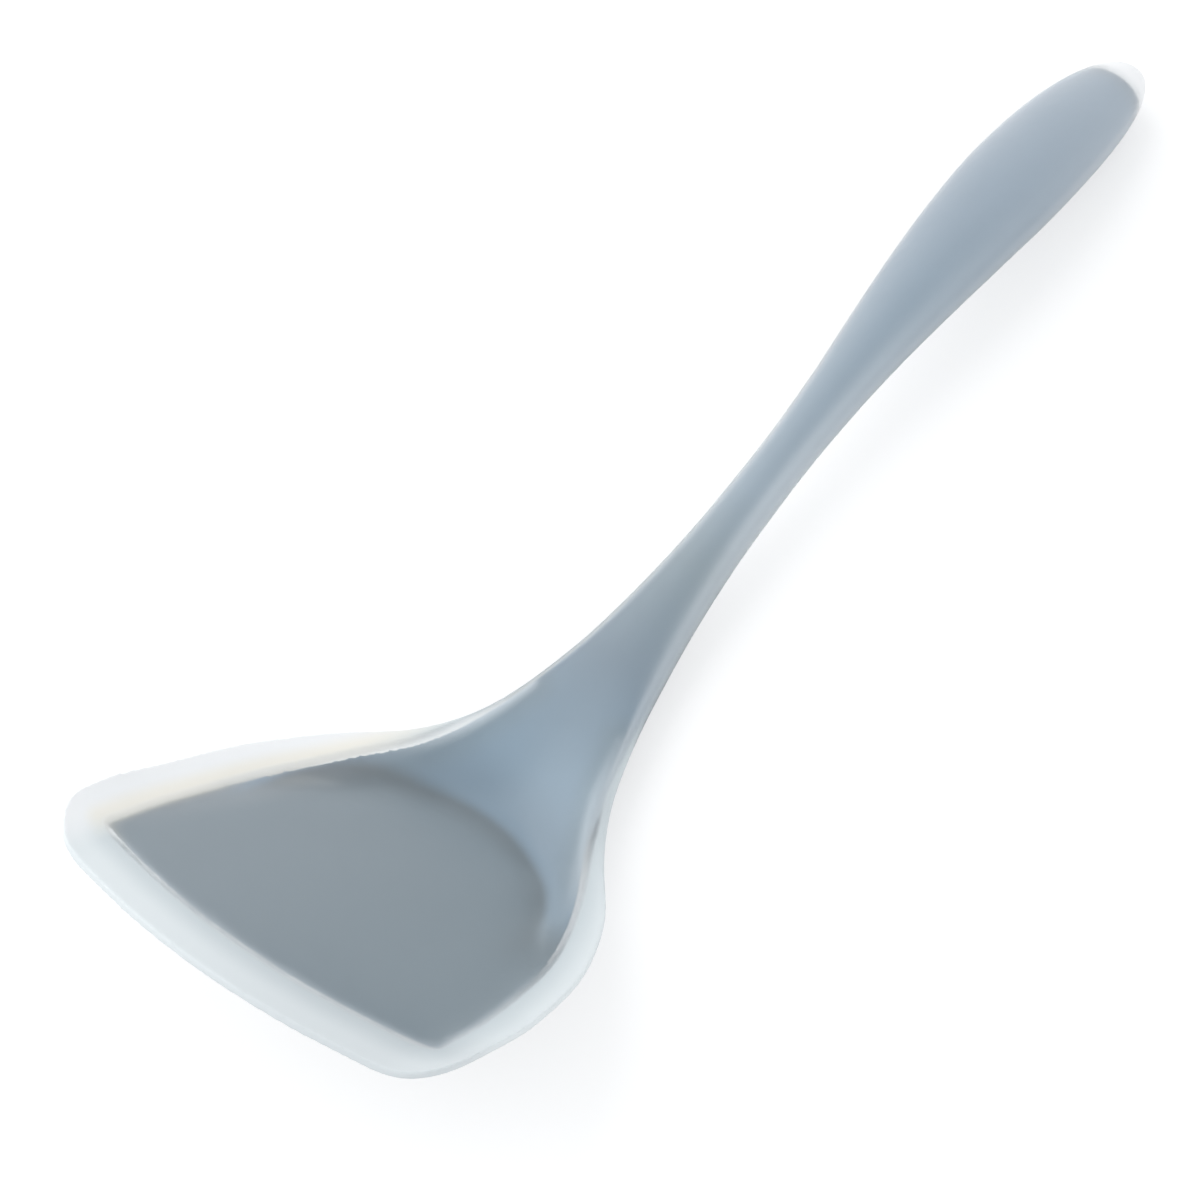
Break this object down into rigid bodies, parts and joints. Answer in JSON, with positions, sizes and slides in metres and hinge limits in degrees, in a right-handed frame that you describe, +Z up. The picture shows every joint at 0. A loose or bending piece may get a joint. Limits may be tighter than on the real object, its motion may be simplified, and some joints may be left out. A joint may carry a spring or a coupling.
{
  "type": "silicone spatula",
  "caption": "Wok turner with an angled dished pan, a thin neck and a swelling grip, a stiff core cast inside a frosted translucent silicone skin.",
  "frame": {"origin": "on the table under the middle of the whole tool, which lies pan up on its heel and grip end", "axes": "+X runs from the blade to the grip along the tool, +Y runs across, +Z is up"},
  "size_m": [0.3124, 0.1096, 0.0633],
  "materials": {
    "silicone": "frosted translucent silicone",
    "nylon": "matte blue-grey",
    "steel": "plain drawn wire"
  },
  "bodies": {
    "root": {"silicone_skin": "silicone", "nylon_core": "nylon", "steel_rod": "steel"}
  },
  "joints": []
}
